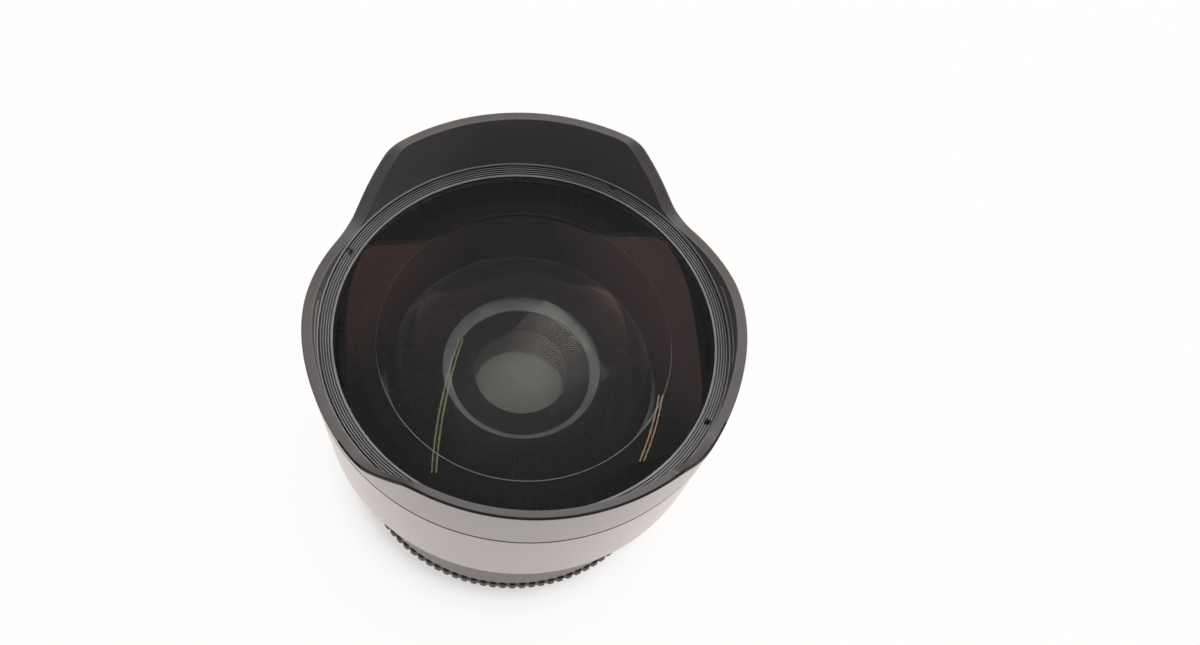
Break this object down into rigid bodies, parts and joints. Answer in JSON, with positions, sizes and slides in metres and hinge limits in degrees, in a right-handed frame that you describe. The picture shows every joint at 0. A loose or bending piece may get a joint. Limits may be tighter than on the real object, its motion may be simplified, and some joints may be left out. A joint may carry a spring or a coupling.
{
  "type": "fisheye conversion lens",
  "caption": "Fisheye conversion lens with a bulging front glass, a built-in petal hood, a narrow neck and a ribbed lock ring that draws a lock pin in its bayonet socket.",
  "frame": {"origin": "on the optical axis, at the rear rim that the lens stands on", "axes": "+Z along the optical axis towards the front glass, +Y towards the centre of one long petal, +X towards the centre of one side petal"},
  "size_m": [0.0784, 0.08, 0.0593],
  "materials": {
    "satin_black": "satin black paint with a very fine grain",
    "ring_black": "black anodised, finely turned",
    "front_glass": "polished, coated",
    "inner_glass": "polished, coated green",
    "cell_black": "matte black anodised",
    "funnel_grey": "bead-blasted grey",
    "mask_black": "light-absorbing black",
    "seal_rubber": "soft black rubber",
    "grip_black": "moulded, ribbed",
    "mount_metal": "turned and satin plated",
    "screw_steel": "plain",
    "washer_grey": "smooth",
    "dot_white": "filled paint"
  },
  "bodies": {
    "head": {"petal_hood": "satin_black", "main_barrel": "satin_black", "front_ring": "ring_black", "front_seal": "seal_rubber", "front_element": "front_glass", "seat_gasket": "mask_black", "front_cell": "cell_black", "front_cell_screws": "screw_steel", "second_element": "inner_glass", "second_retainer": "cell_black", "third_element": "inner_glass", "fourth_element": "inner_glass", "pair_mask": "mask_black", "pair_retainer": "funnel_grey", "rear_cell": "cell_black", "rear_cell_screws": "screw_steel", "flare_stop": "mask_black", "rear_element": "inner_glass", "rear_retainer": "cell_black", "rear_baffle": "mask_black", "bayonet_mount": "mount_metal", "mount_screws": "screw_steel", "neck_band": "satin_black", "band_screws": "screw_steel", "index_dot": "dot_white", "thrust_washer": "washer_grey", "lock_spring": "screw_steel"},
    "lock_ring": {"lock_ring": "grip_black"},
    "lock_pin": {"lock_pin": "screw_steel"}
  },
  "joints": [
    {"name": "lock_turn", "type": "hinge", "parent": "head", "child": "lock_ring", "pos_m": [0, 0, 0.0024], "axis": [0, 0, 1], "range_deg": [0, 20], "stiffness_Nm_per_rad": 0.011, "springref_deg": -13.18},
    {"name": "pin_draw", "type": "slide", "parent": "head", "child": "lock_pin", "axis": [0, 0, 1], "range_m": [0, 0.0015], "deforming": ["lock_spring"]}
  ],
  "couplings": [
    {"joint": "pin_draw", "follows": "lock_turn", "m_per_rad": 0.0042972}
  ]
}
